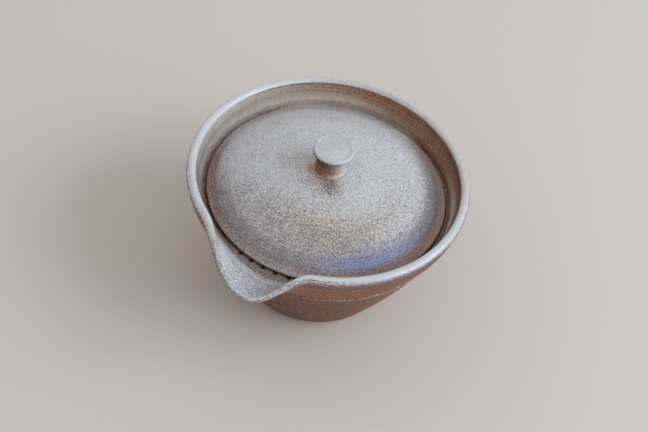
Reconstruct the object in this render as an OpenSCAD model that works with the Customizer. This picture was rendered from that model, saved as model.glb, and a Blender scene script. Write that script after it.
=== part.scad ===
// Shiboridashi: a small lidded brewing bowl in wood-fired stoneware, with no handle.
// The lid sits inside the rim on a ledge, and the rim is pulled out into a pouring lip.
// Millimetres, +Z up, origin at the centre of the flat base, spout towards -Y.

/* [Lid seat] */
// Radius of the lid
lid_r = 45.3; // [38:0.1:54]
// Clearance between the lid's edge and the wall around it
lid_gap = 1.5; // [0.6:0.1:3]
// Width of the ledge that lies under the lid
ledge_bearing = 3.7; // [2.5:0.1:5]
// Depth of the ledge below the rim
ledge_depth = 11.1; // [9:0.1:16]
// Rounding of the ledge's inner edge
ledge_round = 0.8; // [0.3:0.1:1.2]

/* [Bowl] */
// Height of the rim above the table
rim_h = 55.5; // [46:0.5:70]
// Thickness of the rim across its rounded top
rim_t = 3.6; // [2.8:0.1:4.6]
// How far the inside of the rim stands out from the ledge's outer edge
rim_flare = 2.4; // [1.4:0.1:4]
// Swell of the outside between the scored line and the rim
band_swell = 0.8; // [0.2:0.1:1.4]
// Depth of the scored line below the rim
score_depth = 16.8; // [14:0.1:21]
// How far the outside at the scored line stands out from the ledge's outer edge
score_out = 0.2; // [0:0.1:1.5]
// Step below the scored line
score_step = 0.5; // [0.2:0.1:0.8]
// Radius of the base
foot_r = 29.8; // [25:0.1:34]
// Bevel around the base
foot_bevel = 1.2; // [0.5:0.1:2.5]
// Swell of the lower wall
wall_swell = 0.6; // [0:0.1:2]
// Thickness of the wall just above the floor, measured level
wall_t = 5.2; // [3.5:0.1:7]
// Thickness of the floor
floor_t = 5; // [3.5:0.1:8]
// Radius between the floor and the inner wall
floor_round = 14; // [6:0.5:18]

/* [Spout] */
// Reach of the lip from the bowl's axis
lip_reach = 63.8; // [58:0.1:72]
// Height of the lip above the ledge
lip_rise = 3.6; // [2:0.1:6]
// Thickness of the lip
lip_t = 2; // [1.4:0.1:2.8]
// Half of the angle over which the rim is pulled out
spout_half = 28; // [22:0.5:36]
// Lean of the lip to one side, as an angle
lip_lean = 3.7; // [-6:0.1:6]
// Turn of the spout's two ends to the other side, as an angle
spout_skew = 4.2; // [-6:0.1:6]
// Lay of the wall at the lip, as an angle from upright
lip_lay = 72; // [60:1:80]
// Hollow under the spout
throat_hollow = 0.5; // [0:0.1:1]

/* [Straining notches] */
// Number of notches
notch_count = 5; // [3:1:7]
// Angle from one notch to the next
notch_pitch = 6.3; // [5:0.1:8]
// Width of a notch
notch_w = 2.2; // [1.4:0.1:3]
// How far a notch reaches past the lid's edge
notch_past = 0.9; // [0.3:0.1:1.4]
// Slope of a notch's floor, as an angle
notch_slope = 38; // [25:1:45]

/* [Lid] */
// Thickness of the lid's edge
lid_edge_t = 1.4; // [1.2:0.1:3]
// Rounding of the lid's edge
lid_edge_round = 0.5; // [0.3:0.1:0.6]
// Width of the bare band round the lid's edge
lid_band_w = 3.3; // [2:0.1:5]
// Rise of the band from the edge to the dome
lid_band_rise = 1.2; // [0.3:0.1:2]
// Step from the band up to the dome
lid_step = 0.4; // [0.1:0.1:0.8]
// Height of the dome's crown above the ledge
dome_h = 13; // [9:0.1:18]
// Thickness of the lid at its crown
lid_crown_t = 4.9; // [3.5:0.1:6.5]
// Width of the flat ring under the lid's edge
lid_ring_w = 6.6; // [5:0.1:9]

/* [Knob] */
// Height of the knob
knob_h = 10; // [8:0.1:16]
// Radius of the knob's head
knob_head_r = 7.6; // [6.5:0.1:10]
// Thickness of the head's edge
knob_head_t = 1.6; // [1.2:0.1:3]
// Radius of the waist
knob_waist_r = 5.7; // [4:0.1:5.8]
// Radius of the knob's foot
knob_foot_r = 6.1; // [5.9:0.1:9]
// Rounding of the head's edge
knob_head_round = 0.7; // [0.3:0.1:1]
// Width of the raised edge around the top
knob_brim_w = 1.4; // [0.8:0.1:2]
// Depth of the dish in the top
knob_dish = 0.25; // [0.1:0.05:0.8]
// Radius of the pit at the middle of the top
knob_pit_r = 0.8; // [0.4:0.1:1.5]
// Depth of the pit
knob_pit_depth = 0.5; // [0.2:0.1:1]

/* [Hidden] */
$fn = 180;

// Steps of one curve in a profile
curve_steps = 12;
// Steps of a half round and of a slightly swollen face
lip_steps = 8;
face_steps = 8;
// Steps across the spout, and the lap of its ends into the rim as an angle
spout_steps = 36;
spout_lap = 2;
// The spout's ends are slimmer than the rim by this much, so that they run into it
spout_slim = 0.04;
// How much later the lip drops than it reaches out, and how soon it narrows at the sides
lip_drop_power = 1.4;
spout_taper = 2.35;
// How deep and how wide the wall's root goes into the body
root_depth = 0.8;
root_w = 2.2;
// Cut-outs run past the surfaces that they open by this much
over = 3;
// Flat around the knob's foot on the lid
knob_margin = 0.5;

ledge_h = rim_h - ledge_depth;
ledge_in_r = lid_r - ledge_bearing;
ledge_out_r = lid_r + lid_gap;
score_h = rim_h - score_depth;
score_r = ledge_out_r + score_out;

// The rim's half round: its centre, its radius and the lean of the wall that it ends
rim_mid = [ledge_out_r + rim_flare + rim_t / 2, rim_h - rim_t / 2];
rim_lean = atan2(rim_flare, ledge_depth);
lip_mid = [lip_reach - lip_t / 2, ledge_h + lip_rise];

function mix(a, b, t) = a + (b - a) * t;
function arc(mid, r, from, to, n) =
    [for (i = [0 : n]) mid + r * [cos(mix(from, to, i / n)), sin(mix(from, to, i / n))]];
function bend(a, b, swell, n) =
    let (side = [b[1] - a[1], a[0] - b[0]] / norm(b - a))
    [for (i = [0 : n]) let (t = i / n) mix(a, b, t) - 4 * swell * t * (1 - t) * side];
// The point on the line from a to b that lies further down than b by depth
function past(a, b, depth) = b + (b - a) * depth / (a[1] - b[1]);
// Height of a shallow dome at radius r, given its height and its height at the radius out
function dome(r, top, out, low) =
    let (big = (out * out + (top - low) * (top - low)) / (2 * (top - low)))
    top - big + sqrt(big * big - r * r);

// Section of the wall above the ledge: upright at w = 0, and laid out as the spout's floor at w = 1.
// Every section turns about the ledge's outer edge and the scored line, and runs on into the body there.
function wall_section(w, slim) =
    let (
        drop = pow(w, lip_drop_power),
        mid = [mix(rim_mid[0], lip_mid[0], w), mix(rim_mid[1], lip_mid[1], drop)],
        lean = mix(rim_lean, lip_lay, w),
        lip = arc(mid, mix(rim_t, lip_t, w) / 2 - slim, 180 - lean, -lean, lip_steps),
        swell = mix(band_swell, -throat_hollow, w),
        face = bend(lip[lip_steps], [score_r - slim, score_h], swell, face_steps),
        foot = past(lip[0], [ledge_out_r + slim, ledge_h], root_depth),
        toe = past(face[face_steps - 1], face[face_steps], root_depth)
    )
    concat(
        [foot],
        [for (i = [0 : lip_steps - 1]) lip[i]],
        [for (i = [0 : face_steps - 1]) face[i]],
        [toe, [score_r - root_w, toe[1]], [ledge_out_r - root_w, foot[1]]]
    );

// How far the wall is pulled out at angle a from the spout's axis: 1 at the lip and 0 where the rim begins
function pull(a) =
    let (
        lop = lip_lean + spout_skew,
        side = a < lip_lean ? spout_half + lop : spout_half - lop,
        u = abs(a - lip_lean) / side
    )
    u >= 1 ? 0 : pow(cos(90 * u), spout_taper);

module lower_body() {
    lap_in = (ledge_out_r - ledge_in_r) / 5;
    ledge_edge = [ledge_in_r, ledge_h];
    wall_foot = [mix(foot_r, score_r + score_step, floor_t / score_h) - wall_t, floor_t];
    wall_dir = (ledge_edge - wall_foot) / norm(ledge_edge - wall_foot);
    tilt = atan2(wall_dir[0], wall_dir[1]);
    round_h = floor_t + floor_round;
    round_r = ledge_in_r - (floor_round - (round_h - ledge_h) * wall_dir[0]) / wall_dir[1];
    rotate_extrude()
        polygon(concat(
            [[0, 0], [foot_r - foot_bevel, 0]],
            bend([foot_r, foot_bevel], [score_r + score_step, score_h], -wall_swell, face_steps),
            [[score_r - lap_in, score_h], [ledge_out_r + lap_in, ledge_h]],
            [[ledge_in_r + ledge_round, ledge_h], [ledge_in_r, ledge_h - ledge_round]],
            arc([round_r, round_h], floor_round, -tilt, -90, curve_steps),
            [[0, floor_t]]
        ));
}

module rim_wall() {
    rotate_extrude(angle = 360 - 2 * spout_half, start = spout_half - spout_skew - 90)
        polygon(wall_section(0, 0));
}

module spout() {
    reach = spout_half + spout_lap;
    angles = [for (i = [0 : spout_steps]) mix(-reach, reach, i / spout_steps) - spout_skew];
    rings = [for (a = angles)
        [for (p = wall_section(pull(a), spout_slim)) [p[0] * sin(a), -p[0] * cos(a), p[1]]]];
    n = len(rings[0]);
    polyhedron(
        points = [for (ring = rings) each ring],
        faces = concat(
            [for (i = [0 : spout_steps - 1], j = [0 : n - 1]) let (k = (j + 1) % n, a = i * n, b = a + n)
                each [[a + j, b + j, a + k], [a + k, b + j, b + k]]],
            [[for (j = [0 : n - 1]) j], [for (j = [0 : n - 1]) spout_steps * n + (n - j) % n]]
        )
    );
}

// One notch along +X: a slot with a sloping V floor, which runs out on the ledge past the lid's edge
module strain_notch() {
    reach = lid_r + notch_past;
    length = reach - ledge_in_r + over;
    run = length / cos(notch_slope);
    intersection() {
        translate([reach - length, -notch_w / 2, ledge_h - length])
            cube([length, notch_w, length + over]);
        translate([reach, 0, ledge_h])
            rotate([0, -notch_slope, 0])
            translate([-run, 0, 0])
            rotate([90, 0, 90])
            linear_extrude(run)
            polygon([[0, 0], [over, over], [-over, over]]);
    }
}

module bowl() {
    color("#6f4b3a")
    difference() {
        union() {
            union() {
                lower_body();
                rim_wall();
            }
            spout();
        }
        for (i = [0 : notch_count - 1])
            rotate([0, 0, (i - (notch_count - 1) / 2) * notch_pitch - 90])
            strain_notch();
    }
}

module lid() {
    edge_h = ledge_h + lid_edge_t;
    band_r = lid_r - lid_band_w;
    band_h = edge_h + lid_band_rise;
    ring_r = lid_r - lid_ring_w;
    crown_h = ledge_h + dome_h;
    seat_r = knob_foot_r + knob_margin;
    color("#9a9089")
    rotate_extrude()
        polygon(concat(
            [for (i = [0 : curve_steps]) let (r = ring_r * i / curve_steps)
                [r, dome(r, crown_h - lid_crown_t, ring_r, ledge_h)]],
            [[lid_r - lid_edge_round, ledge_h], [lid_r, ledge_h + lid_edge_round]],
            arc([lid_r - lid_edge_round, edge_h - lid_edge_round], lid_edge_round, 0, 90, lip_steps),
            [[band_r, band_h]],
            [for (i = [0 : curve_steps]) let (r = mix(band_r - lid_step, seat_r, i / curve_steps))
                [r, dome(r, crown_h, band_r - lid_step, band_h + lid_step)]],
            [[0, dome(seat_r, crown_h, band_r - lid_step, band_h + lid_step)]]
        ));
}

module knob() {
    band_r = lid_r - lid_band_w;
    band_h = ledge_h + lid_edge_t + lid_band_rise;
    seat_h = dome(knob_foot_r + knob_margin, ledge_h + dome_h, band_r - lid_step, band_h + lid_step);
    neck_h = knob_h - knob_head_t;
    waist_h = neck_h / 2;
    top_r = knob_head_r - knob_brim_w;
    color("#8d8781")
    translate([0, 0, seat_h])
    rotate_extrude()
        polygon(concat(
            [[0, 0]],
            [for (i = [0 : curve_steps]) let (t = i / curve_steps)
                [mix(knob_waist_r, knob_foot_r, pow(1 - t, 3)), waist_h * t]],
            [for (i = [1 : curve_steps]) let (t = i / curve_steps)
                [mix(knob_waist_r, knob_head_r, pow(t, 3)), mix(waist_h, neck_h, t)]],
            arc([knob_head_r - knob_head_round, knob_h - knob_head_round], knob_head_round, 0, 90, lip_steps),
            [[top_r, knob_h - knob_dish], [knob_pit_r, knob_h - knob_dish]],
            [[0, knob_h - knob_dish - knob_pit_depth]]
        ));
}

bowl();
lid();
knob();
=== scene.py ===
"""Looks of a small lidded brewing bowl in wood-fired stoneware.

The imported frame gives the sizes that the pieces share. The bowl, the lid and the knob are turned surfaces:
a profile carried round the upright axis, pulled out into a spout on the bowl. Lengths are millimetres until
a mesh is filled, and angles are degrees from the spout, which points to -Y, towards +X.
"""

import logging
from dataclasses import dataclass
from enum import Enum
from typing import Any

import bpy
import numpy as np
from mathutils import Matrix, Vector


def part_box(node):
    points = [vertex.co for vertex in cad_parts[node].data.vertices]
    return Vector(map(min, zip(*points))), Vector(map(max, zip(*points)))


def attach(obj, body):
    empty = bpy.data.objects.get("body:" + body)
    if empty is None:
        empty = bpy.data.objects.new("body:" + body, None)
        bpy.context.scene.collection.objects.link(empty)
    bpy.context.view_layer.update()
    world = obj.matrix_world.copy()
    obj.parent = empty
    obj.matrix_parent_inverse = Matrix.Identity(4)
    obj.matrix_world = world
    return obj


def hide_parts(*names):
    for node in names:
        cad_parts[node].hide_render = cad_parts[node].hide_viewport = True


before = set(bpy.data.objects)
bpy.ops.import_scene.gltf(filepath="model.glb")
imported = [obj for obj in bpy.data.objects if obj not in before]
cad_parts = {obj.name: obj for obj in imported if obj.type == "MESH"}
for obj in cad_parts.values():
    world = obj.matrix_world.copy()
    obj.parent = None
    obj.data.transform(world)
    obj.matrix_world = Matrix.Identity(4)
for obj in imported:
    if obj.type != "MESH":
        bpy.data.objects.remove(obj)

LOG = logging.getLogger("shiboridashi")
MM = 0.001


class Layer(Enum):
    """Fields that each piece carries on its vertices and that the stoneware finish reads."""

    # Ash also carries painted highlights and painted light: the drops' glints, the knob's brim, the rim's
    # highlights, the right of the lid's band
    ASH = "ash"  # share of the surface that pale fly ash covers
    GRAIN = "grain"  # how far single grains of ash stand out
    STRAW = "straw"  # how yellow that ash is
    EMBER = "ember"  # how far the bare clay is toasted to orange
    FUME = "fume"  # violet-grey bloom left by the flame
    # Flash also carries a painted bluish tint of the rim's highlight at the front right
    FLASH = "flash"  # blue-violet sheen where the flame licked an edge
    # Soot also carries painted shade: in the notches, in the gaps round the lid, in corners and on shaded
    # sides
    SOOT_AND_SHADE = "soot"  # dark brown scorching
    ALONG = "along"  # millimetres along the profile, for the throwing lines


class Zone(Enum):
    """Stretches of the bowl's profile, from the middle of its floor to the middle of its base."""

    FLOOR = 0
    CAVITY = 1
    LEDGE_EDGE = 2
    LEDGE = 3
    INNER_WALL = 4
    LIP = 5
    BAND = 6
    SCORE = 7
    LOWER = 8
    BASE = 9


Fields = dict[Layer, np.ndarray]


def mix(a: Any, b: Any, t: Any) -> Any:
    """Go from a to b by the share t."""
    return a + (b - a) * t


def ramp(x: np.ndarray, low: float, high: float) -> np.ndarray:
    """Rise from 0 at low to 1 at high along the curve 3t^2 - 2t^3."""
    t = np.clip((x - low) / (high - low), 0, 1)
    return t * t * (3 - 2 * t)


def ridge(x: np.ndarray, centre: float, width: float) -> np.ndarray:
    """Bell curve of height 1 at the centre, which has fallen to 1/e at the width."""
    return np.exp(-(((x - centre) / width) ** 2))


def around(angle: np.ndarray, centre: float, width: float) -> np.ndarray:
    """Bell curve over an angle in degrees, which closes on itself after a full turn."""
    return ridge((angle - centre + 180) % 360 - 180, 0, width)


def wobble(angle: np.ndarray, phase: float) -> np.ndarray:
    """Uneven wave of about -1 to 1 round a hand-made piece: waves of 2, 3 and 5 periods a turn, added up."""
    turn = np.radians(angle)
    waves = ((0.6, 2 * turn + phase), (0.3, 3 * turn + 2.1 * phase), (0.1, 5 * turn - phase))
    return sum(size * np.sin(wave) for size, wave in waves)


def steps(count: int, end: bool = True) -> np.ndarray:
    """Even shares from 0 to 1, with or without the last."""
    return np.linspace(0, 1, count, endpoint=end)


def linear(code: str) -> tuple[float, float, float, float]:
    """Turn an sRGB hex colour into the linear colour that shaders use.

    Args:
        code: Colour such as "#a0b1c2".

    Returns:
        Red, green, blue and an alpha of 1.
    """
    parts = np.array([int(code[i:i + 2], 16) for i in (1, 3, 5)]) / 255
    low = parts / 12.92
    high = ((parts + 0.055) / 1.055) ** 2.4
    return (*np.where(parts <= 0.04045, low, high).tolist(), 1.0)


def add_node(
    tree: bpy.types.NodeTree, kind: str, inputs: dict | None = None, **settings: Any
) -> bpy.types.Node:
    """Add a node to a tree, set it and link it.

    Args:
        tree: Node tree of the material or the world.
        kind: Blender's name for the kind of node.
        inputs: Socket name or number, with a value or with the output that feeds it.
        settings: Properties of the node.

    Returns:
        The new node.
    """
    node = tree.nodes.new(kind)
    for name, value in settings.items():
        setattr(node, name, value)
    for name, value in (inputs or {}).items():
        if isinstance(value, bpy.types.NodeSocket):
            tree.links.new(value, node.inputs[name])
        else:
            node.inputs[name].default_value = value
    return node


def turned_mesh(
    name: str, angles: np.ndarray, radius: np.ndarray, height: np.ndarray, fields: Fields
) -> bpy.types.Object:
    """Make a closed piece from a profile carried round the axis.

    The point of row i and column j is (r sin a, -r cos a, z) with a = angles[i], r = radius[i, j] and
    z = height[i, j]. The last row joins the first. The first and the last column lie on the axis, so each
    is one vertex. A profile that runs from the top of the axis outwards and down gives faces that point
    outwards.

    Args:
        name: Name of the piece.
        angles: Angles of the rows, in degrees.
        radius: Radius of each point, in millimetres.
        height: Height of each point, in millimetres.
        fields: Values for the vertices, in arrays of the same shape.

    Returns:
        The object, at the origin.
    """
    rows, columns = radius.shape
    inner = slice(1, columns - 1)
    turn = np.radians(angles)[:, None]
    grid = np.stack((radius * np.sin(turn), -radius * np.cos(turn), height), axis=-1)
    poles = [[0, 0, height[:, 0].mean()], [0, 0, height[:, -1].mean()]]
    points = np.concatenate((grid[:, inner].reshape(-1, 3), poles)) * MM

    width = columns - 2
    here = np.arange(rows)[:, None] * width
    beyond = (np.arange(rows)[:, None] + 1) % rows * width
    j = np.arange(width - 1)[None, :]
    quads = np.stack((here + j, here + j + 1, beyond + j + 1, beyond + j), axis=-1).reshape(-1, 4)
    top = np.full_like(here, rows * width)
    fans = np.concatenate((
        np.concatenate((top, here, beyond), axis=1),
        np.concatenate((here + width - 1, top + 1, beyond + width - 1), axis=1),
    ))
    mesh = bpy.data.meshes.new(name)
    mesh.from_pydata(points.tolist(), [], quads.tolist() + fans.tolist())
    mesh.shade_smooth()
    for layer, values in fields.items():
        ends = [values[:, 0].mean(), values[:, -1].mean()]
        flat = np.concatenate((values[:, inner].ravel(), ends)).astype(np.float32)
        mesh.attributes.new(layer.value, "FLOAT", "POINT").data.foreach_set("value", flat)
    mesh.validate()
    piece = bpy.data.objects.new(name, mesh)
    bpy.context.scene.collection.objects.link(piece)
    return piece


def along(radius: np.ndarray, height: np.ndarray) -> np.ndarray:
    """Length along each profile from its first point, in millimetres."""
    hops = np.hypot(np.diff(radius, axis=1), np.diff(height, axis=1))
    return np.concatenate((np.zeros((len(radius), 1)), np.cumsum(hops, axis=1)), axis=1)


@dataclass(frozen=True)
class Stoneware:
    """Unglazed wood-fired stoneware: coarse clay, toasted by the flame, with fly ash fused on it.

    The eye sees pale ash grains that thin out over brown and violet-grey clay, a few white grits and iron
    specks, fine throwing lines, and a soft sheen where the ash has melted.
    """

    name: str
    clay: str = "#73594a"
    ember: str = "#8d5835"
    fume: str = "#7a7679"
    flash: str = "#7278a5"
    # Dark brown of scorching, also used as painted shade
    soot: str = "#1b1410"
    ash: str = "#b9c1cb"
    straw: str = "#bcaf92"
    grit: str = "#e2e1de"
    speck: str = "#3a3431"
    # Ash grains are 0.1 to 0.3 mm; drawn at 0.33 mm so that they show in the render
    grain_mm: float = 0.33
    mottle_mm: float = 6.0
    line_mm: float = 1.1
    grit_mm: float = 2.4
    speck_mm: float = 2.6
    # Radius of a grit and of a speck as a share of its cell, and the share of cells that hold none
    grit_dot: float = 0.14
    speck_dot: float = 0.1
    empty_cells: float = 0.5
    # How far grains, mottling and throwing lines push the cover of ash up and down
    grain_push: float = 2.1
    mottle_push: float = 0.35
    line_push: float = 0.25
    flash_on_ash: float = 0.35
    # How far single grains stray in shade, in the clay and in the ash
    clay_shade: float = 0.3
    ash_shade: float = 0.5
    bare_roughness: float = 0.75
    # The ash has run where it lies thicker than full cover by a fifth
    melt_cover: float = 1.2
    melt_roughness: float = 0.17
    gloss: float = 0.5
    # Relief of the bare clay, the part of it that is grain, and what is left of it under full ash
    relief_mm: float = 0.08
    relief_strength: float = 0.5
    grain_relief: float = 0.6
    drown_from: float = 0.4
    drowned_relief: float = 0.1

    def material(self) -> bpy.types.Material:
        """Build the node material.

        Returns:
            A material that reads the vertex fields and Object coordinates.
        """
        material = bpy.data.materials.new(self.name)
        material.use_nodes = True
        tree = material.node_tree
        tree.nodes.clear()
        place = add_node(tree, "ShaderNodeTexCoord").outputs["Object"]
        layer = {
            one: add_node(tree, "ShaderNodeAttribute", attribute_name=one.value).outputs["Fac"]
            for one in Layer
        }

        # Ash grains are cells of random paleness. Mottling is a noise, and the throwing lines are a noise
        # along the profile
        cells = add_node(tree, "ShaderNodeTexVoronoi", {"Vector": place, "Scale": 1 / (self.grain_mm * MM)})
        grain, pale, dark = add_node(tree, "ShaderNodeSeparateColor", {0: cells.outputs["Color"]}).outputs
        mottle = add_node(tree, "ShaderNodeTexNoise", {
            "Vector": place, "Scale": 1 / (self.mottle_mm * MM), "Detail": 3.0}).outputs[0]
        line_at = add_node(tree, "ShaderNodeMath", {
            0: layer[Layer.ALONG], 1: 1 / self.line_mm, 2: mottle}, operation="MULTIPLY_ADD").outputs[0]
        lines = add_node(tree, "ShaderNodeTexNoise", {
            "W": line_at, "Scale": 1.0, "Detail": 2.0}, noise_dimensions="1D").outputs[0]

        # Ash covers a point by its share there, pushed up and down by each pattern about its middle
        speckle = add_node(tree, "ShaderNodeMath", {
            0: layer[Layer.GRAIN], 1: self.grain_push}, operation="MULTIPLY").outputs[0]
        cover = layer[Layer.ASH]
        for pattern, push in ((grain, speckle), (mottle, self.mottle_push), (lines, self.line_push)):
            middle = add_node(tree, "ShaderNodeMath", {0: pattern, 1: 0.5}, operation="SUBTRACT").outputs[0]
            cover = add_node(tree, "ShaderNodeMath", {
                0: middle, 1: push, 2: cover}, operation="MULTIPLY_ADD").outputs[0]
        thick, cover = cover, add_node(tree, "ShaderNodeClamp", {0: cover}).outputs[0]

        # Bare clay, toasted, bloomed with violet-grey, flashed, and darkened by soot and by painted shade;
        # each is uneven by a noise
        colour = linear(self.clay)
        for one, noise, contrast, code in (
            (Layer.EMBER, lines, 1.0, self.ember),
            (Layer.FUME, lines, 1.0, self.fume),
            (Layer.FLASH, lines, 2.0, self.flash),
            (Layer.SOOT_AND_SHADE, mottle, 1.0, self.soot),
        ):
            uneven = add_node(tree, "ShaderNodeMath", {
                0: noise, 1: 2 * contrast, 2: 1 - contrast}, operation="MULTIPLY_ADD").outputs[0]
            amount = add_node(tree, "ShaderNodeMath", {
                0: uneven, 1: layer[one]}, operation="MULTIPLY", use_clamp=True).outputs[0]
            colour = add_node(tree, "ShaderNodeMix", {
                0: amount, 6: colour, 7: linear(code)}, data_type="RGBA").outputs[2]

        # Each grain of the clay is a little lighter or darker than the next
        shade = add_node(tree, "ShaderNodeMapRange", {
            "Value": dark, "To Min": 1 - self.clay_shade, "To Max": 1 + self.clay_shade}).outputs[0]
        colour = add_node(tree, "ShaderNodeMix", {
            0: 1.0, 6: colour, 7: shade}, data_type="RGBA", blend_type="MULTIPLY").outputs[2]

        # Ash on top, from cool grey to straw and grain by grain paler, with the blue of the flash in it
        tint = add_node(tree, "ShaderNodeMix", {
            0: layer[Layer.STRAW], 6: linear(self.ash), 7: linear(self.straw)}, data_type="RGBA").outputs[2]
        paler = add_node(tree, "ShaderNodeMath", {
            0: pale, 1: self.ash_shade}, operation="MULTIPLY").outputs[0]
        tint = add_node(tree, "ShaderNodeMix", {
            0: paler, 6: tint, 7: linear(self.grit)}, data_type="RGBA").outputs[2]
        blue = add_node(tree, "ShaderNodeMath", {
            0: layer[Layer.FLASH], 1: self.flash_on_ash}, operation="MULTIPLY").outputs[0]
        tint = add_node(tree, "ShaderNodeMix", {
            0: blue, 6: tint, 7: linear(self.flash)}, data_type="RGBA").outputs[2]
        colour = add_node(tree, "ShaderNodeMix", {0: cover, 6: colour, 7: tint}, data_type="RGBA").outputs[2]

        # White grits and iron specks: dots in some cells of a cell pattern, fewest where the face is smoothed
        rough = add_node(tree, "ShaderNodeMath", {
            0: layer[Layer.GRAIN], 1: 2.0}, operation="MULTIPLY", use_clamp=True).outputs[0]
        for code, size_mm, dot in (
            (self.grit, self.grit_mm, self.grit_dot),
            (self.speck, self.speck_mm, self.speck_dot),
        ):
            dots = add_node(tree, "ShaderNodeTexVoronoi", {"Vector": place, "Scale": 1 / (size_mm * MM)})
            chosen = add_node(tree, "ShaderNodeSeparateColor", {0: dots.outputs["Color"]}).outputs[0]
            inside = add_node(tree, "ShaderNodeMapRange", {
                "Value": dots.outputs["Distance"], "From Min": dot, "From Max": dot * 0.5}).outputs[0]
            keep = add_node(tree, "ShaderNodeMath", {
                0: chosen, 1: self.empty_cells}, operation="GREATER_THAN").outputs[0]
            keep = add_node(tree, "ShaderNodeMath", {0: keep, 1: rough}, operation="MULTIPLY").outputs[0]
            shown = add_node(tree, "ShaderNodeMath", {0: inside, 1: keep}, operation="MULTIPLY").outputs[0]
            colour = add_node(tree, "ShaderNodeMix", {
                0: shown, 6: colour, 7: linear(code)}, data_type="RGBA").outputs[2]

        # Bare clay is dry and dull, melted ash shines a little
        roughness = add_node(tree, "ShaderNodeMapRange", {
            "Value": thick, "From Max": self.melt_cover,
            "To Min": self.bare_roughness, "To Max": self.melt_roughness}).outputs[0]
        # Grain and lines stand out on bare clay and drown in thick ash
        relief = add_node(tree, "ShaderNodeMath", {
            0: cells.outputs["Distance"], 1: -self.grain_relief, 2: lines},
            operation="MULTIPLY_ADD").outputs[0]
        bare = add_node(tree, "ShaderNodeMapRange", {
            "Value": layer[Layer.ASH], "From Min": self.drown_from, "From Max": 1.0,
            "To Min": 1.0, "To Max": self.drowned_relief}).outputs[0]
        relief = add_node(tree, "ShaderNodeMath", {0: relief, 1: bare}, operation="MULTIPLY").outputs[0]
        bump = add_node(tree, "ShaderNodeBump", {
            "Height": relief, "Strength": self.relief_strength, "Distance": self.relief_mm * MM}).outputs[0]
        shader = add_node(tree, "ShaderNodeBsdfPrincipled", {
            "Base Color": colour, "Roughness": roughness, "Specular IOR Level": self.gloss, "Normal": bump})
        add_node(tree, "ShaderNodeOutputMaterial", {"Surface": shader.outputs[0]})
        return material


@dataclass(frozen=True)
class Patch:
    """Round patch of colour on the lid, which fades out as a bell curve."""

    x: float
    y: float
    size: float
    amount: float

    def over(self, x: np.ndarray, y: np.ndarray) -> np.ndarray:
        """Strength of the patch at points in millimetres."""
        return self.amount * np.exp(-((x - self.x) ** 2 + (y - self.y) ** 2) / self.size**2)


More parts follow.
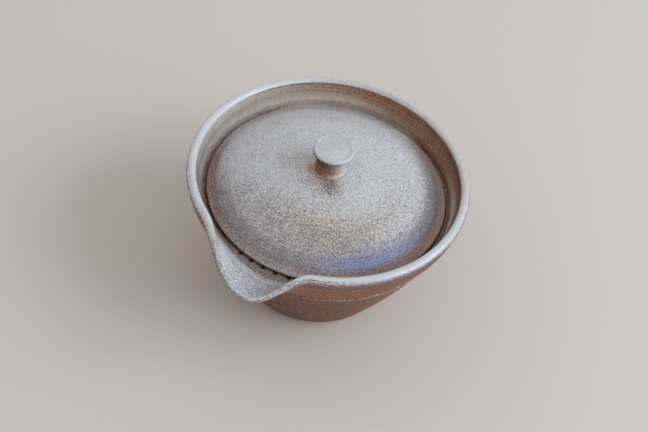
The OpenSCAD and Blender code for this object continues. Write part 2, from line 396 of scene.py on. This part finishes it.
@dataclass
class Bowl:
    """The thrown bowl with its ledge, pulled spout and straining notches."""

    rim_h: float
    rim_r: float
    lip_out: float
    lid_r: float
    ledge_h: float
    lid_gap: float = 1.5
    ledge_bearing: float = 3.7
    ledge_round: float = 0.8
    # Low bead of clay on the ledge: its height, its half width and its place across the lid's clearance
    ledge_bead: float = 0.2
    bead_w: float = 0.3
    bead_at: float = 0.62
    rim_t: float = 3.6
    band_swell: float = 0.8
    score_depth: float = 16.8
    score_out: float = 0.2
    score_step: float = 0.5
    score_drop: float = 0.1
    foot_r: float = 29.8
    foot_bevel: float = 1.2
    wall_swell: float = 0.6
    wall_t: float = 5.2
    floor_t: float = 5.0
    floor_round: float = 14.0
    lip_rise: float = 3.6
    lip_t: float = 2.0
    lip_lay: float = 72.0
    lip_lean: float = 3.7
    lip_drop_power: float = 1.4
    spout_half: float = 28.0
    spout_skew: float = 4.2
    spout_taper: float = 2.35
    throat_hollow: float = 0.5
    notch_count: int = 5
    notch_pitch: float = 6.3
    notch_w: float = 2.2
    # The mouths run 0.4 mm further out than in the solid, so that they show at their real size
    notch_past: float = 1.3
    notch_slope: float = 38.0
    # Painted shade: the cut faces are coloured all dark for the deep shade in the notches under the lid
    notch_shade: float = 3.0
    # How far the rim strays from a circle and from level, and the depth and pitch of the throwing rings
    out_of_round: float = 0.3
    out_of_level: float = 0.15
    ring_depth: float = 0.07
    ring_pitch: float = 3.4

    def angles(self) -> np.ndarray:
        """Angles of the profiles: 0.25 degrees apart at the notches, 0.5 in the spout and 1.5 behind it."""
        notches = np.arange(-18, 18, 0.25)
        flanks = np.arange(18, 36, 0.5)
        back = np.arange(36, 324, 1.5)
        return np.concatenate((notches, flanks, back, flanks + 306))

    def pull(self, angle: np.ndarray) -> np.ndarray:
        """Share of the pull: 1 at the lip, falling as a power of a cosine to 0 at the spout's sides."""
        angle = (angle + 180) % 360 - 180
        lop = self.lip_lean + self.spout_skew
        side = np.where(angle < self.lip_lean, self.spout_half + lop, self.spout_half - lop)
        u = np.minimum(np.abs(angle - self.lip_lean) / side, 1)
        return np.cos(np.pi / 2 * u) ** self.spout_taper

    def profiles(self, angle: np.ndarray) -> tuple[np.ndarray, np.ndarray, np.ndarray, np.ndarray]:
        """Work out the closed profile at every angle.

        From the middle of the floor the profile follows an arc and a straight wall to the ledge, crosses it,
        climbs the upper wall, rounds the lip and comes down outside over the scored line to the base. The
        upper wall turns about the ledge's outer edge and the scored line, from upright to laid out, as it is
        pulled.

        Args:
            angle: Angles of the profiles, in degrees.

        Returns:
            Radius and height of every point, and the zone and the share of that zone of each column.
        """
        w = self.pull(angle)[:, None]
        ones = np.ones_like(w)
        ledge_in, ledge_out = self.lid_r - self.ledge_bearing, self.lid_r + self.lid_gap
        score_r, score_h = ledge_out + self.score_out, self.rim_h - self.score_depth
        rim_mid_r, rim_mid_h = self.rim_r - self.rim_t / 2, self.rim_h - self.rim_t / 2
        rim_lean = np.degrees(np.arctan2(rim_mid_r - self.rim_t / 2 - ledge_out, self.rim_h - self.ledge_h))
        low_out, low_h = score_r + self.score_step, score_h - self.score_drop
        bevel_r = self.foot_r - self.foot_bevel

        lip_reach = self.lip_out / np.cos(np.radians(self.lip_lean))
        mid_r = mix(rim_mid_r, lip_reach - self.lip_t / 2, w)
        mid_h = mix(rim_mid_h, self.ledge_h + self.lip_rise, w**self.lip_drop_power)
        lip_round = mix(self.rim_t, self.lip_t, w) / 2
        lean = np.radians(mix(rim_lean, self.lip_lay, w))

        wall_foot = mix(self.foot_r, low_out, self.floor_t / score_h) - self.wall_t
        tilt = np.arctan2(ledge_in - wall_foot, self.ledge_h - self.floor_t)
        round_h = self.floor_t + self.floor_round
        round_r = ledge_in - (self.floor_round - (round_h - self.ledge_h) * np.sin(tilt)) / np.cos(tilt)

        def straight(r0: Any, h0: Any, r1: Any, h1: Any, t: np.ndarray) -> tuple[np.ndarray, np.ndarray]:
            """Points of a straight stretch at every angle."""
            return mix(r0, r1, t) * ones, mix(h0, h1, t) * ones

        def swollen(
            r0: Any, h0: Any, r1: Any, h1: Any, swell: Any, t: np.ndarray
        ) -> tuple[np.ndarray, np.ndarray]:
            """Points of a stretch that swells outwards from its chord by 4 s t (1 - t)."""
            length = np.hypot(r1 - r0, h1 - h0)
            out = 4 * swell * t * (1 - t) / length
            return (mix(r0, r1, t) - out * (h1 - h0)) * ones, (mix(h0, h1, t) + out * (r1 - r0)) * ones

        # Shares of the way along each stretch, as close together as its curve and its colours need
        floor_at, arc_at, cavity_at, edge_at, ledge_at, wall_at = (
            steps(count, False) for count in (7, 14, 30, 5, 22, 28))
        lip_at = steps(18)
        band_at, score_at, lower_at, bevel_at, base_at = (steps(count)[1:] for count in (26, 4, 36, 4, 7))

        turn = -np.pi / 2 + (np.pi / 2 - tilt) * arc_at
        arc_r, arc_h = round_r + self.floor_round * np.cos(turn), round_h + self.floor_round * np.sin(turn)
        wall_r, wall_h = round_r + self.floor_round * np.cos(tilt), round_h - self.floor_round * np.sin(tilt)
        corner = np.pi - np.pi / 2 * edge_at
        edge_r = ledge_in + self.ledge_round * (1 + np.cos(corner))
        edge_h = self.ledge_h - self.ledge_round * (1 - np.sin(corner))
        lip_turn = np.pi - lean - np.pi * lip_at[None, :]
        lip_r, lip_h = mid_r + lip_round * np.cos(lip_turn), mid_h + lip_round * np.sin(lip_turn)
        swell = mix(self.band_swell, -self.throat_hollow, w)
        blocks = (
            (Zone.FLOOR, floor_at, straight(0, self.floor_t, round_r, self.floor_t, floor_at)),
            (Zone.FLOOR, arc_at, (arc_r * ones, arc_h * ones)),
            (Zone.CAVITY, cavity_at, straight(
                wall_r, wall_h, ledge_in, self.ledge_h - self.ledge_round, cavity_at**0.8)),
            (Zone.LEDGE_EDGE, edge_at, (edge_r * ones, edge_h * ones)),
            (Zone.LEDGE, ledge_at, straight(
                ledge_in + self.ledge_round, self.ledge_h, ledge_out, self.ledge_h, ledge_at)),
            (Zone.INNER_WALL, wall_at, straight(
                ledge_out, self.ledge_h, lip_r[:, :1], lip_h[:, :1], wall_at)),
            (Zone.LIP, lip_at, (lip_r, lip_h)),
            (Zone.BAND, band_at, swollen(
                lip_r[:, -1:], lip_h[:, -1:], score_r, score_h, swell, band_at)),
            (Zone.SCORE, score_at, straight(score_r, score_h, low_out, low_h, score_at)),
            (Zone.LOWER, lower_at, swollen(
                low_out, low_h, self.foot_r, self.foot_bevel, self.wall_swell, lower_at)),
            (Zone.LOWER, np.ones(len(bevel_at)), straight(
                self.foot_r, self.foot_bevel, bevel_r, 0, bevel_at)),
            (Zone.BASE, base_at, straight(bevel_r, 0, 0, 0, base_at)),
        )
        zone = np.concatenate([np.full(len(t), kind.value) for kind, t, _ in blocks])
        share = np.concatenate([t for _, t, _ in blocks])
        radius = np.concatenate([points[0] for _, _, points in blocks], axis=1)
        height = np.concatenate([points[1] for _, _, points in blocks], axis=1)
        return radius, height, zone, share

    def notched(self, angle: np.ndarray, radius: np.ndarray, height: np.ndarray) -> np.ndarray:
        """Cut the straining notches into the ledge.

        A notch is a slot whose V floor drops towards the axis: at x along it and y across it the floor lies
        at the ledge, less the tangent of its slope for each millimetre inwards, plus y over the slope's
        cosine.

        Args:
            angle: Angles of the profiles, in degrees.
            radius: Radius of every point.
            height: Height of every point.

        Returns:
            The lowered heights.
        """
        slope, reach = np.radians(self.notch_slope), self.lid_r + self.notch_past
        for i in range(self.notch_count):
            turn = np.radians(angle - (i - (self.notch_count - 1) / 2) * self.notch_pitch)[:, None]
            x, y = radius * np.cos(turn), np.abs(radius * np.sin(turn))
            bed = self.ledge_h + (x - reach) * np.tan(slope) + y / np.cos(slope)
            slot = (y < self.notch_w / 2) & (x > 0) & (x < reach)
            height = np.where(slot, np.minimum(height, bed), height)
        return height

    def fields(self, angle: np.ndarray, zone: np.ndarray, share: np.ndarray, height: np.ndarray) -> Fields:
        """Say how the firing coloured each point.

        Args:
            angle: Angles of the profiles, in degrees.
            zone: Zone of each column.
            share: Share of its zone at each column.
            height: Height of every point.

        Returns:
            The fields of the finish.
        """
        a, t = angle[:, None], share[None, :]
        spout = ramp(self.pull(angle)[:, None], 0.02, 0.45)
        left, back, right = around(a, -85, 45), around(a, -155, 35), around(a, 140, 50)
        shut = ramp(np.cos(np.radians(a - 195)), 0.72, 0.9)

        # Upper wall inside: ash drifted to the left, to the back and low at the right; painted shade as soot
        # colour just under the rim, under the right rim and in the corner at the ledge, except at the back
        wall_ash = (
            around(a, -100, 50) * (
                0.3 + 0.2 * ramp(t, 0.1, 0.35) - 0.15 * ridge(t, 0.6, 0.12) + 0.25 * ramp(t, 0.75, 1.0))
            + 0.6 * back * ridge(t, 0.42, 0.22)
            + 0.78 * around(a, 100, 24) * ridge(t, 0.35, 0.28)
            + 0.4 * shut * (1 - ramp(t, 0.05, 0.3)))
        wall_shade = (
            0.12 * ridge(t, 0.97, 0.08)
            + 0.8 * around(a, 118, 34) * ramp(t, 0.5, 0.95)
            + 0.75 * (1 - shut) * (1 - ramp(t, 0.03, 0.14)))
        wall_ember = 0.15 + 0.6 * right + 0.6 * around(a, -170, 45) * ridge(t, 0.85, 0.2)
        wall_fume = 0.5 * left + 0.6 * (left + back) * (1 - ramp(t, 0.05, 0.35))

        # Floor of the spout: grainy ash, thickest along its left flank, toasted beside the left notches, and
        # darkened towards the lid's gap as painted shade
        drift = around(a, -14, 8)
        spout_ash = 0.48 * ramp(t, 0.06, 0.34) + 0.5 * drift * ramp(t, 0.35, 0.7)
        spout_ember = 0.4 * around(a, -22, 8) * (1 - ramp(t, 0.2, 0.5))
        spout_fume = 0.5 + 0.4 * ramp(t, 0.06, 0.3)
        spout_gap_shade = 0.35 * (1 - ramp(t, 0.05, 0.25))
        spout_flash = spout * ramp(t, 0.1, 0.4) * (0.1 + 0.1 * drift)

        # Rim: a coat of ash on its crest, thicker where the two highlights fall, glossier there and paler as
        # a painted highlight; a fine crack right of the spout; painted shade on its inner side except at the
        # left
        melted, sandy, thin = around(a, -105, 40) + around(a, 65, 35), around(a, 150, 45), around(a, 185, 32)
        edge = 0.14 * (1 - left)
        coat = (0.8 + 0.4 * melted - 0.12 * thin) * ramp(t - edge, -0.05, 0.05) * (1 - ramp(t, 0.6, 0.95))
        flank = around(a, 14, 7)
        crack = around(a, 22, 15) * ridge(t, mix(0.65, 0.45, spout), 0.05)
        lip_ash = mix(0.02 + coat, 0.48 + 0.4 * flank - 0.28 * ramp(t, 0.3, 0.7), spout) - 0.7 * crack
        lip_grain = mix(0.12 + 0.14 * left + 0.1 * thin + 0.25 * ramp(t, 0.45, 0.7), 0.5, spout)
        lip_straw = mix(0.45 * sandy, 0.7 * (1 - 0.7 * flank) * ramp(t, 0.2, 0.6), spout)
        lip_shade = 0.25 * (1 - left) * (1 - ramp(t, 0.1, 0.25))
        lip_soot_and_shade = mix(lip_shade, 0.28 * ramp(t, 0.25, 0.6), spout) + 0.5 * crack

        # Ledge: painted shade, dark soot colour under the lid's edge and in the gap beside it, except at the
        # back
        gap_shade_mask = (1 - shut) * (1 - ramp(t + 0.07 * spout, 0.74, 0.84))
        ledge_gap_shade = 0.25 * spout + (0.8 - 0.5 * spout) * gap_shade_mask

        # Outside: a band of toasted clay with an orange streak, then rough clay, ashy on the right
        band_ash = mix(-0.08, 0.2 * (1 - ramp(t, 0.0, 0.3)) - 0.04, spout)
        band_ember = 0.6 - 0.4 * spout + 0.5 * around(a, 40, 28) * ridge(t, 0.6, 0.15)
        score_ash = 0.22 - 0.3 * around(a, 12, 20)
        lower_ash = -0.1 + 0.16 * around(a, 90, 40)
        lower_soot = 0.43 - 0.33 * around(a, 90, 45)

        def pick(
            floor: Any = 0.0, cavity: Any = 0.0, ledge: Any = 0.0, wall: Any = 0.0, lip: Any = 0.0,
            band: Any = 0.0, score: Any = 0.0, lower: Any = 0.0, base: Any = 0.0,
        ) -> np.ndarray:
            """Lay a value for each zone into one field."""
            by_zone = (floor, cavity, cavity, ledge, wall, lip, band, score, lower, base)
            full = np.ones_like(height)
            return np.select([zone[None, :] == kind.value for kind in Zone], [full * v for v in by_zone])

        return {
            Layer.ASH: pick(
                ledge=0.4 * shut, wall=mix(wall_ash, spout_ash, spout), lip=lip_ash,
                band=band_ash, score=score_ash, lower=lower_ash),
            Layer.GRAIN: pick(
                floor=0.3, cavity=0.3, ledge=0.3, wall=mix(0.2, 0.42, spout), lip=lip_grain,
                band=0.3, score=0.9, lower=0.3, base=0.2),
            Layer.STRAW: pick(
                floor=0.3, cavity=0.3, ledge=0.4, wall=mix(0.65 - 0.1 * left + 0.2 * back, 0.12, spout),
                lip=lip_straw, band=0.4, score=0.7, lower=0.4, base=0.3),
            Layer.EMBER: pick(
                floor=0.6, cavity=0.6, ledge=0.3 - 0.1 * spout, wall=mix(wall_ember, spout_ember, spout),
                lip=0.2, band=band_ember, score=0.5, lower=0.85, base=0.5),
            Layer.FUME: pick(
                floor=0.1, cavity=0.1, ledge=0.1 + 0.25 * spout, wall=mix(wall_fume, spout_fume, spout),
                lip=mix(0.35 * ridge(t, 0.45, 0.2), 0.8, spout), band=0.35 * (1 - ramp(t, 0.05, 0.3)),
                score=0.1),
            # On the lip the flash at the front right is a painted bluish tint of the highlight there
            Layer.FLASH: pick(wall=spout_flash, lip=0.22 * around(a, 60, 32)),
            Layer.SOOT_AND_SHADE: pick(
                floor=0.12, cavity=0.1, ledge=ledge_gap_shade, wall=mix(wall_shade, spout_gap_shade, spout),
                lip=lip_soot_and_shade, band=0.35 * ridge(t, 0.06, 0.08), score=0.1, lower=lower_soot, base=0.1),
        }

    def build(self) -> bpy.types.Object:
        """Make the bowl's mesh, with the slight unevenness of a thrown piece.

        Returns:
            The bowl.
        """
        angle = self.angles()
        radius, height, zone, share = self.profiles(angle)
        fields = self.fields(angle, zone, share, height)
        fields[Layer.ALONG] = along(radius, height)
        up = height / self.rim_h
        thrown = np.isin(zone, [Zone.CAVITY.value, Zone.INNER_WALL.value, Zone.BAND.value, Zone.LOWER.value])
        rings = np.sin(2 * np.pi * height / self.ring_pitch + wobble(angle, 0.7)[:, None])
        cut = self.notched(angle, radius, height)
        # Painted shade: the notches' cut faces are coloured dark and bare of ash
        fields[Layer.SOOT_AND_SHADE] = np.where(cut < height, self.notch_shade, fields[Layer.SOOT_AND_SHADE])
        fields[Layer.ASH] = np.where(cut < height, 0.0, fields[Layer.ASH])
        bead = ridge(radius, self.lid_r + self.lid_gap * self.bead_at, self.bead_w)
        height = cut + self.ledge_bead * (zone == Zone.LEDGE.value) * bead
        stray = self.out_of_round / self.rim_r * wobble(angle, 1.9)[:, None]
        radius = radius * (1 + stray * ramp(up, 0.3, 1))
        radius = radius + self.ring_depth * rings * thrown * np.sin(np.pi * share)
        height = height + self.out_of_level * wobble(angle, 4.2)[:, None] * ramp(up, 0.8, 1)
        return turned_mesh("bowl_stoneware", angle, radius, height, fields)

    def dress(self, piece: bpy.types.Object, finish: Stoneware) -> None:
        """Give the bowl its finish and its place in the frame."""
        piece.data.materials.append(finish.material())
        place_piece(piece, "bowl", "bowl")


@dataclass
class Lid:
    """The domed lid with its bare band, which lies on the ledge."""

    lid_r: float
    ledge_h: float
    seat_h: float
    edge_t: float = 1.4
    edge_round: float = 0.5
    band_w: float = 3.3
    band_rise: float = 1.2
    step: float = 0.4
    dome_h: float = 13.0
    crown_t: float = 4.9
    ring_w: float = 6.6
    seat_r: float = 6.6
    row_count: int = 360
    # Brown lee behind the knob's foot, partly painted shadow of the knob; a toasted spot beside it; and drops
    # of run ash at the back edge, partly painted glints
    lee_and_shade: tuple[Patch, ...] = (Patch(4.3, -8.4, 4.6, 0.75), Patch(-3.5, -9, 4.5, 0.3))
    glow: tuple[Patch, ...] = (Patch(-5.5, -4.5, 2.5, 0.4),)
    drops_and_glints: tuple[Patch, ...] = (
        Patch(6.6, 42.2, 1.0, 1.2), Patch(8.2, 42.3, 0.9, 0.96), Patch(11.6, 42.1, 1.1, 1.2))

    @staticmethod
    def dome(r: np.ndarray, top: float, out: float, low: float) -> np.ndarray:
        """Height of a shallow sphere that is top at the axis and low at the radius out."""
        big = (out**2 + (top - low) ** 2) / (2 * (top - low))
        return top - big + np.sqrt(big**2 - r**2)

    def profile(self) -> tuple[np.ndarray, np.ndarray]:
        """Work out the profile from the crown over the dome, the band and the edge to the middle underneath.

        Returns:
            Radius and height of its points.
        """
        edge_h, band_r = self.ledge_h + self.edge_t, self.lid_r - self.band_w
        band_h, ring_r = edge_h + self.band_rise, self.lid_r - self.ring_w
        crown_h, dome_r = self.ledge_h + self.dome_h, band_r - self.step
        seat = steps(4, False) * self.seat_r
        over = mix(self.seat_r, dome_r, steps(44))
        turn = np.pi / 2 * (1 - steps(8))
        band_t = steps(9)[1:-1]
        under = ring_r * (1 - steps(24))
        radius = np.concatenate((
            seat, over, mix(band_r, self.lid_r - self.edge_round, band_t),
            self.lid_r - self.edge_round * (1 - np.cos(turn)),
            [self.lid_r, self.lid_r - self.edge_round * 0.3, self.lid_r - self.edge_round],
            mix(self.lid_r - self.edge_round, ring_r, steps(6)[1:-1]), under))
        height = np.concatenate((
            np.full(4, self.seat_h), self.dome(over, crown_h, dome_r, band_h + self.step),
            mix(band_h, edge_h, band_t), edge_h - self.edge_round * (1 - np.sin(turn)),
            [self.ledge_h + self.edge_round, self.ledge_h + self.edge_round * 0.3, self.ledge_h],
            np.full(4, self.ledge_h), self.dome(under, crown_h - self.crown_t, ring_r, self.ledge_h)))
        return radius, height

    def fields(self, angle: np.ndarray, radius: np.ndarray, top: np.ndarray) -> Fields:
        """Say how the firing coloured each point.

        Args:
            angle: Angles of the profiles, in degrees.
            radius: Radius of every point.
            top: 1 on the upper side and 0 underneath.

        Returns:
            The fields of the finish.
        """
        a = angle[:, None]
        x, y = radius * np.sin(np.radians(a)), -radius * np.cos(np.radians(a))
        band_r = self.lid_r - self.band_w
        dome = top * (1 - ramp(radius, band_r - 0.6, band_r + 1.0))
        front, left, right = around(a, 5, 28), around(a, -80, 45), around(a, 125, 40)
        east, back = around(a, 92, 45), ramp(np.cos(np.radians(a - 215)), 0.3, 0.65)
        near = ramp(-y, 10, 30)
        lee_and_shade, glow, drops_and_glints = (
            sum(patch.over(x, y) for patch in patches) for patches in (self.lee_and_shade, self.glow, self.drops_and_glints))
        glow = glow + 0.7 * around(a, -5, 45) * ridge(radius, 6.9, 1.2)

        # Dome: ash thick at the back and thin towards the spout and the edge, straw-coloured in an arc at
        # the front, with the flame's blue along the edge beside it
        straw = 0.7 * around(a, 38, 48) * ridge(radius, 28.5, 7.5)
        flash = ((0.88 * around(a, 55, 26) + 0.08 * around(a, 105, 25)) * ridge(radius, 38.6, 3.6)
                 + 0.09 * around(a, -55, 50) * ramp(radius, 12, 30))
        worn = (ramp(radius, 35, 41) * (0.1 + 0.45 * right + 0.4 * front + 0.3 * around(a, -45, 35))
                + 0.5 * ramp(radius, 33, 39) * around(a, 92, 42))
        # Less ash and some soot colour in the knob's lee: partly bare of ash, partly painted shadow of the
        # knob
        ash = 0.89 - 0.4 * near - 0.15 * ramp(x, 13, 28) - worn - lee_and_shade - 0.45 * glow - 0.32 * straw
        grain = 0.55 - 0.05 * near + 0.15 * straw - 0.15 * ramp(radius, 34, 38)

        # Band round the edge: almost bare, smooth and toasted on the right, ashy at the back. Its right is
        # also paler as painted light where the rim's shadow falls, and its side face takes soot colour as
        # painted shade of the gap
        side = ramp(radius, self.lid_r - 0.3, self.lid_r)
        band_ash = 0.14 + 0.05 * front + 0.1 * east + 0.2 * right + 0.42 * back - 0.05 * left - 0.4 * side
        band_grain = 0.3 - 0.2 * np.minimum(east + right, 1)
        return {
            # The drops add ash that runs glossy, and their paleness is partly painted glint
            Layer.ASH: mix(band_ash, ash, dome) + drops_and_glints,
            Layer.GRAIN: mix(band_grain, grain, dome),
            Layer.STRAW: mix(0.4, 0.1 + 0.12 * near + straw + 0.7 * lee_and_shade + 0.9 * glow, dome),
            Layer.EMBER: mix(0.35 + 0.9 * east + 0.5 * right, 0.15 * lee_and_shade + glow, dome),
            Layer.FUME: mix(0.2 + 0.5 * front, 0.9 - 0.1 * near - 0.5 * lee_and_shade - glow, dome),
            Layer.FLASH: flash * dome,
            Layer.SOOT_AND_SHADE: mix(0.07 * left + 0.6 * side, 0.4 * lee_and_shade, dome),
        }

    def build(self) -> bpy.types.Object:
        """Make the lid's mesh.

        Returns:
            The lid.
        """
        angle = np.arange(self.row_count) * 360 / self.row_count
        radius, height = self.profile()
        top = (np.arange(len(radius)) < np.argmax(radius)).astype(float)
        radius, height, top = (np.tile(v, (self.row_count, 1)) for v in (radius, height, top))
        fields = self.fields(angle, radius, top)
        fields[Layer.ALONG] = along(radius, height)
        return turned_mesh("lid_stoneware", angle, radius, height, fields)

    def dress(self, piece: bpy.types.Object, finish: Stoneware) -> None:
        """Give the lid its finish and its place in the frame."""
        piece.data.materials.append(finish.material())
        place_piece(piece, "lid", "lid")


@dataclass
class Knob:
    """The small turned knob, luted to the crown of the lid."""

    seat_h: float
    top_h: float
    head_r: float
    head_t: float = 1.6
    waist_r: float = 5.7
    foot_r: float = 6.1
    head_round: float = 0.7
    brim_w: float = 1.4
    dish: float = 0.25
    pit_r: float = 0.8
    pit_depth: float = 0.15
    row_count: int = 144

    def profile(self) -> tuple[np.ndarray, np.ndarray]:
        """Work out the profile from the pit over the dished top, the head, the waist and the foot.

        The waist opens to the head above and to the foot below as the cube of the way from the middle.

        Returns:
            Radius and height of its points.
        """
        neck_h = self.top_h - self.head_t
        waist_h = (self.seat_h + neck_h) / 2
        floor_h = self.top_h - self.dish
        turn = np.pi / 2 * (1 - steps(10))
        t = steps(16)[1:]
        radius = np.concatenate((
            self.pit_r * steps(4, False), mix(self.pit_r, self.head_r - self.brim_w, steps(12)),
            [self.head_r - self.brim_w * 0.75], self.head_r - self.head_round * (1 - np.cos(turn)),
            mix(self.head_r, self.waist_r, 1 - (1 - steps(17)) ** 3),
            mix(self.waist_r, self.foot_r, t**3), self.foot_r * (1 - steps(5)[1:])))
        height = np.concatenate((
            floor_h - self.pit_depth * (1 - steps(4, False)) ** 2, np.full(12, floor_h),
            [self.top_h - self.dish * 0.3], self.top_h - self.head_round * (1 - np.sin(turn)),
            mix(neck_h, waist_h, steps(17)), mix(waist_h, self.seat_h, t), np.full(4, self.seat_h)))
        return radius, height

    def fields(self, angle: np.ndarray, height: np.ndarray) -> Fields:
        """Say how the firing coloured each point.

        Args:
            angle: Angles of the profiles, in degrees.
            height: Height of every point.

        Returns:
            The fields of the finish.
        """
        a = angle[:, None]
        up = (height - self.seat_h) / (self.top_h - self.seat_h)
        top = ramp(up, 0.84, 0.95)
        # Ash on the windward side and in a ring at the foot; thicker, paler ash along the front of the brim,
        # partly a painted highlight; and soot colour under the head on the side away from the light, as
        # painted shade
        windward, lee_and_shade = around(a, 92, 58), around(a, -25, 55)
        ring, brim_ash_and_highlight = around(a, 50, 50) * ridge(up, 0.03, 0.08), around(a, 50, 40) * ridge(up, 0.93, 0.06)
        neck_shade = (1 - top) * lee_and_shade * (0.05 + 0.7 * ramp(up, 0.22, 0.5))
        return {
            Layer.ASH: mix(1.1 * windward + 0.9 * ring - 0.1, 0.74, top) + 0.5 * brim_ash_and_highlight,
            Layer.GRAIN: mix(0.28, 0.15, top),
            Layer.STRAW: mix(0.45 - 0.1 * windward + 0.3 * ring, 0.0, top),
            Layer.EMBER: mix(1.2 - 1.2 * ramp(up, 0.3, 0.6), 0.2, top),
            Layer.FUME: mix(0.5 * windward, 0.9, top),
            Layer.FLASH: np.zeros_like(height),
            Layer.SOOT_AND_SHADE: neck_shade + 0.5 * lee_and_shade * ridge(up, 0.87, 0.05),
        }

    def build(self) -> bpy.types.Object:
        """Make the knob's mesh.

        Returns:
            The knob.
        """
        angle = np.arange(self.row_count) * 360 / self.row_count
        radius, height = (np.tile(v, (self.row_count, 1)) for v in self.profile())
        fields = self.fields(angle, height)
        fields[Layer.ALONG] = along(radius, height)
        return turned_mesh("knob_stoneware", angle, radius, height, fields)

    def dress(self, piece: bpy.types.Object, finish: Stoneware) -> None:
        """Give the knob its finish and its place in the frame."""
        piece.data.materials.append(finish.material())
        place_piece(piece, "lid", "knob")


@dataclass
class Studio:
    """The pale floor, the soft light from the right, and the camera."""

    floor_half_m: float = 3.0
    floor_colour: str = "#cbc5bf"
    floor_roughness: float = 0.8
    sky_colour: str = "#f8f5f2"
    sky_strength: float = 0.74
    window_from: tuple[float, float, float] = (0.77, 0.2, 0.6)
    window_distance_m: float = 1.6
    window_size_m: tuple[float, float] = (1.2, 0.8)
    window_colour: str = "#e9f1ff"
    window_power_w: float = 16.5
    camera_mm: tuple[float, float, float] = (105.85, -254.28, 335.48)
    camera_right: tuple[float, float, float] = (0.8598, 0.4969, 0.1179)
    camera_up: tuple[float, float, float] = (-0.4420, 0.6084, 0.6592)
    lens_mm: float = 58.95
    sensor_mm: float = 36.0

    def build(self) -> None:
        """Set up floor, light and camera."""
        self.floor()
        self.light()
        self.camera()

    def floor(self) -> None:
        """Lay a plain pale floor under the bowl."""
        half = self.floor_half_m
        corners = [(-half, -half, 0), (half, -half, 0), (half, half, 0), (-half, half, 0)]
        mesh = bpy.data.meshes.new("floor")
        mesh.from_pydata(corners, [], [(0, 1, 2, 3)])
        floor = bpy.data.objects.new("floor", mesh)
        bpy.context.scene.collection.objects.link(floor)
        material = bpy.data.materials.new("painted_board")
        material.use_nodes = True
        shader = material.node_tree.nodes["Principled BSDF"]
        shader.inputs["Base Color"].default_value = linear(self.floor_colour)
        shader.inputs["Roughness"].default_value = self.floor_roughness
        mesh.materials.append(material)

    def light(self) -> None:
        """Light the scene with an even sky and one large soft window."""
        world = bpy.data.worlds.new("sky")
        world.use_nodes = True
        background = world.node_tree.nodes["Background"]
        background.inputs["Color"].default_value = linear(self.sky_colour)
        background.inputs["Strength"].default_value = self.sky_strength
        bpy.context.scene.world = world
        window = bpy.data.lights.new("window", "AREA")
        window.shape = "RECTANGLE"
        window.size, window.size_y = self.window_size_m
        window.color = linear(self.window_colour)[:3]
        window.energy = self.window_power_w
        lamp = bpy.data.objects.new("window", window)
        way = Vector(self.window_from).normalized()
        lamp.location = way * self.window_distance_m
        lamp.rotation_euler = way.to_track_quat("Z", "Y").to_euler()
        bpy.context.scene.collection.objects.link(lamp)

    def camera(self) -> None:
        """Place the camera by its position, its right and its up direction."""
        right, up = Vector(self.camera_right).normalized(), Vector(self.camera_up).normalized()
        back = right.cross(up).normalized()
        up = back.cross(right)
        data = bpy.data.cameras.new("camera")
        data.lens = self.lens_mm
        data.sensor_width = self.sensor_mm
        camera = bpy.data.objects.new("camera", data)
        turn = Matrix((right, up, back)).transposed().to_4x4()
        camera.matrix_world = Matrix.Translation(Vector(self.camera_mm) * MM) @ turn
        bpy.context.scene.collection.objects.link(camera)
        bpy.context.scene.camera = camera


def place_piece(piece: bpy.types.Object, body: str, node: str) -> None:
    """Tie a finished piece to the frame and report it.

    Args:
        piece: The piece, at the origin.
        body: Body that it moves with.
        node: Solid that it stands for.
    """
    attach(piece, body)
    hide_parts(node)
    LOG.info("%s: %d faces on body %s", piece.name, len(piece.data.polygons), body)


def frame_box(node: str) -> tuple[np.ndarray, np.ndarray]:
    """Lowest and highest corner of a solid of the frame, in millimetres."""
    low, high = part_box(node)
    return np.array(low) / MM, np.array(high) / MM


def main() -> None:
    """Build the pieces on the frame from the boxes of its solids, and set the scene."""
    logging.basicConfig(level=logging.INFO, format="%(message)s")
    bpy.context.scene.view_settings.view_transform = "Standard"
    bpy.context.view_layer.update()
    bowl_low, bowl_high = frame_box("bowl")
    lid_low, lid_high = frame_box("lid")
    knob_low, knob_high = frame_box("knob")

    bowl = Bowl(
        rim_h=bowl_high[2], rim_r=bowl_high[0], lip_out=-bowl_low[1], lid_r=lid_high[0], ledge_h=lid_low[2])
    bowl.dress(bowl.build(), Stoneware("wood_fired_stoneware_bowl"))
    lid = Lid(lid_r=lid_high[0], ledge_h=lid_low[2], seat_h=knob_low[2])
    lid.dress(lid.build(), Stoneware("wood_fired_stoneware_lid"))
    knob = Knob(seat_h=knob_low[2], top_h=knob_high[2], head_r=knob_high[0])
    knob.dress(knob.build(), Stoneware("wood_fired_stoneware_knob"))
    Studio().build()


if __name__ == "__main__":
    main()
